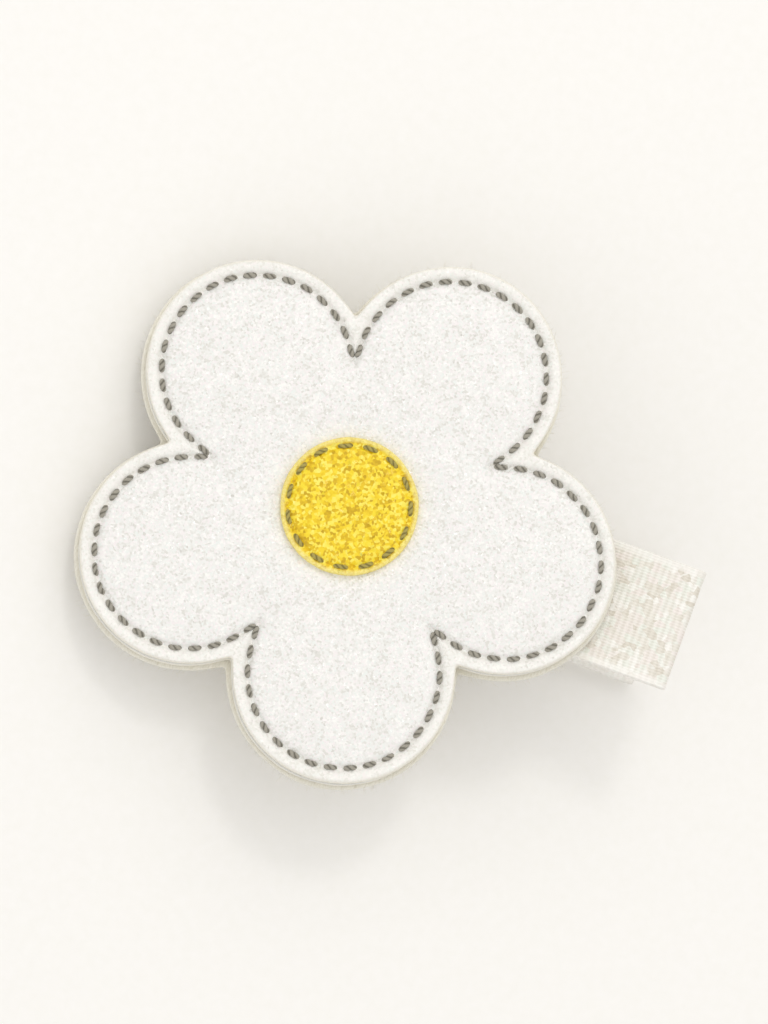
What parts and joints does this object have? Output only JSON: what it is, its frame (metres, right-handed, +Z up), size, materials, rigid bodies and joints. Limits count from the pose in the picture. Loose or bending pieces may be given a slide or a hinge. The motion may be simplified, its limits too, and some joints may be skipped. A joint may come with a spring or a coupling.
{
  "type": "flower hair clip",
  "caption": "Five-petal sewn flower with a round sewn-on centre, glued on a ribbon-lined steel pinch clip whose sprung jaws open on a hinge pin.",
  "frame": {"origin": "on the resting face, the outside of the lower lever's ribbon, straight under the hinge pin", "axes": "+X along the clip from its mouth to its pinch end, +Y along the hinge pin, +Z up out of the resting face, towards the flower"},
  "size_m": [0.0463, 0.041, 0.015],
  "materials": {
    "glitter_faux_leather": "off-white faux leather with fine glitter",
    "stabiliser": "nonwoven stabiliser",
    "padding": "soft padding felt",
    "felt": "cream felt",
    "grey_thread": "twisted polyester thread",
    "yellow_glitter_faux_leather": "yellow faux leather with fine glitter",
    "hot_melt_glue": "milky set glue",
    "nickel_plated_steel": "nickel-plated pressed steel",
    "rivet_steel": "nickel-plated rivet",
    "spring_wire": "bright spring wire",
    "ribbon": "cream grosgrain ribbon with a shimmer"
  },
  "bodies": {
    "lower_jaw": {"lower_lever": "nickel_plated_steel", "lower_ribbon": "ribbon", "hinge_pin": "rivet_steel", "torsion_spring": "spring_wire"},
    "upper_jaw": {"upper_lever": "nickel_plated_steel", "upper_ribbon": "ribbon", "flower_glue": "hot_melt_glue", "backing_felt": "felt", "padding_sheet": "padding", "stabiliser_sheet": "stabiliser", "front_sheet": "glitter_faux_leather", "centre_disc": "yellow_glitter_faux_leather", "centre_stitches": "grey_thread", "outline_stitches": "grey_thread", "bobbin_stitches": "grey_thread"}
  },
  "joints": [
    {"name": "jaw_hinge", "type": "hinge", "parent": "lower_jaw", "child": "upper_jaw", "pos_m": [0, 0, 0.00491], "axis": [0, 1, 0], "range_deg": [0, 35], "stiffness_Nm_per_rad": 0.06, "springref_deg": -45.84, "deforming": ["torsion_spring"]}
  ]
}
